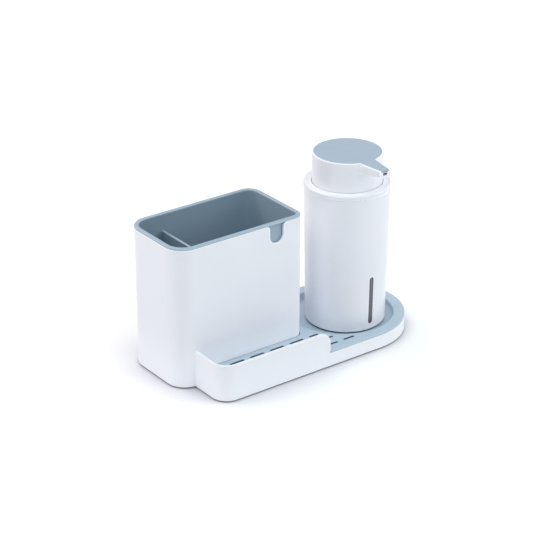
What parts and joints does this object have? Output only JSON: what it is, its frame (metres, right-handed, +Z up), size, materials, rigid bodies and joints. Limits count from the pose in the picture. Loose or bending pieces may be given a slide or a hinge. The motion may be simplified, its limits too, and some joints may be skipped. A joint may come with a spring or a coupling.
{
  "type": "soap pump caddy",
  "caption": "Sink-side caddy with a tall lined brush box, a walled sponge tray with a slotted drip plate, and a round soap bottle with a push-down pump head and flat spout.",
  "frame": {"origin": "centre of the overall outline, on the surface that the feet stand on", "axes": "+X along the caddy from the brush box to the soap bottle, +Y to the back (the spout points to -Y), +Z up"},
  "size_m": [0.234, 0.111, 0.1621],
  "materials": {
    "white_shell": "smooth semi-gloss white ABS",
    "grey_plate": "satin blue-grey ABS",
    "liner_grey": "satin slate-grey polypropylene",
    "clear_window": "clear polished strip",
    "clear_tank": "clear polished tank",
    "natural_plastic": "natural polypropylene",
    "seal_rubber": "smooth grey elastomer",
    "foot_rubber": "matt dark rubber",
    "spring_steel": "drawn stainless wire",
    "ball_steel": "polished stainless balls"
  },
  "bodies": {
    "caddy": {"caddy_body": "white_shell", "rubber_feet": "foot_rubber"},
    "drip_plate": {"drip_plate": "grey_plate"},
    "liner": {"brush_liner": "liner_grey"},
    "bottle": {"bottle_sleeve": "white_shell", "level_window": "clear_window", "inner_tank": "clear_tank"},
    "lid": {"collar_lid": "white_shell", "lid_gasket": "seal_rubber", "housing_gasket": "seal_rubber", "pump_housing": "natural_plastic", "stem_guide": "natural_plastic", "dip_tube": "natural_plastic"},
    "spring": {"return_spring": "spring_steel"},
    "head": {"pump_head": "white_shell", "head_inlay": "grey_plate", "spout_pipe": "natural_plastic", "piston_stem": "natural_plastic", "piston": "seal_rubber"},
    "inlet_ball": {"inlet_ball": "ball_steel"},
    "outlet_ball": {"outlet_ball": "ball_steel"}
  },
  "joints": [
    {"name": "drip_plate_lift", "type": "slide", "parent": "caddy", "child": "drip_plate", "axis": [0, 0, 1], "range_m": [0, 0.03]},
    {"name": "liner_lift", "type": "slide", "parent": "caddy", "child": "liner", "axis": [0, 0, 1], "range_m": [0, 0.13]},
    {"name": "bottle_lift", "type": "slide", "parent": "drip_plate", "child": "bottle", "axis": [0, 0, 1], "range_m": [0, 0.08]},
    {"name": "lid_lift", "type": "slide", "parent": "bottle", "child": "lid", "axis": [0, 0, 1], "range_m": [0, 0.125]},
    {"name": "head_swivel", "type": "hinge", "parent": "lid", "child": "spring", "pos_m": [0.0638, -0.0035, 0.1364], "axis": [0, 0, 1], "continuous": true},
    {"name": "pump_press", "type": "slide", "parent": "spring", "child": "head", "axis": [0, 0, -1], "range_m": [0, 0.012], "stiffness_N_per_m": 800, "springref_m": -0.008, "deforming": ["return_spring"]},
    {"name": "inlet_ball_lift", "type": "slide", "parent": "lid", "child": "inlet_ball", "axis": [0, 0, 1], "range_m": [0, 0.0015]},
    {"name": "outlet_ball_lift", "type": "slide", "parent": "head", "child": "outlet_ball", "axis": [0, 0, 1], "range_m": [0, 0.0015]}
  ]
}
